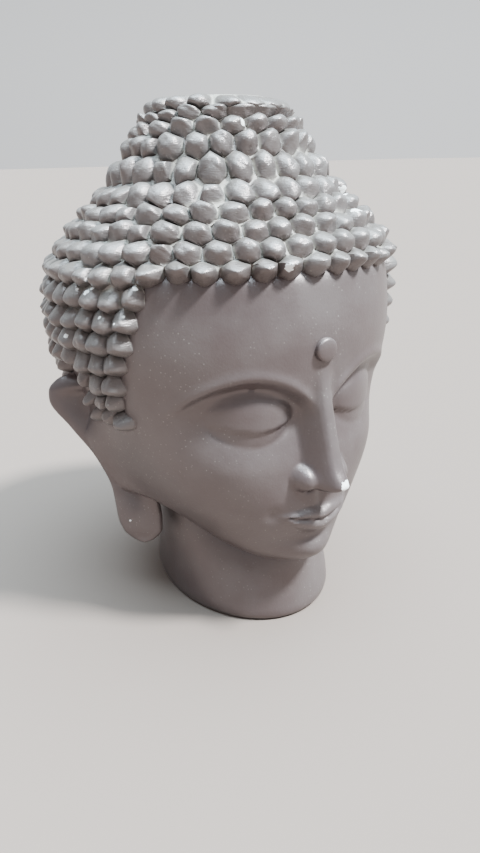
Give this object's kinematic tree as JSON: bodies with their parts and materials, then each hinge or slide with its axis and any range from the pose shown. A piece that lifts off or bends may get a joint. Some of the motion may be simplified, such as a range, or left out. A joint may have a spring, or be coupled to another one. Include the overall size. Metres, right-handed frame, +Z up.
{
  "type": "plaster buddha head",
  "caption": "Grey-painted plaster Buddha head with snail-curl hair, domed topknot, long ears and calm closed eyes, cast in one and cut flat below the neck.",
  "frame": {"origin": "middle of the neck's flat underside", "axes": "+Z up through the topknot, -Y the way the face looks, +X towards the head's left ear"},
  "size_m": [0.296, 0.314, 0.4],
  "materials": {
    "painted_plaster": "satin grey paint over white plaster, dusty in the valleys, with small white chips"
  },
  "bodies": {
    "root": {"buddha_head": "painted_plaster"}
  },
  "joints": []
}
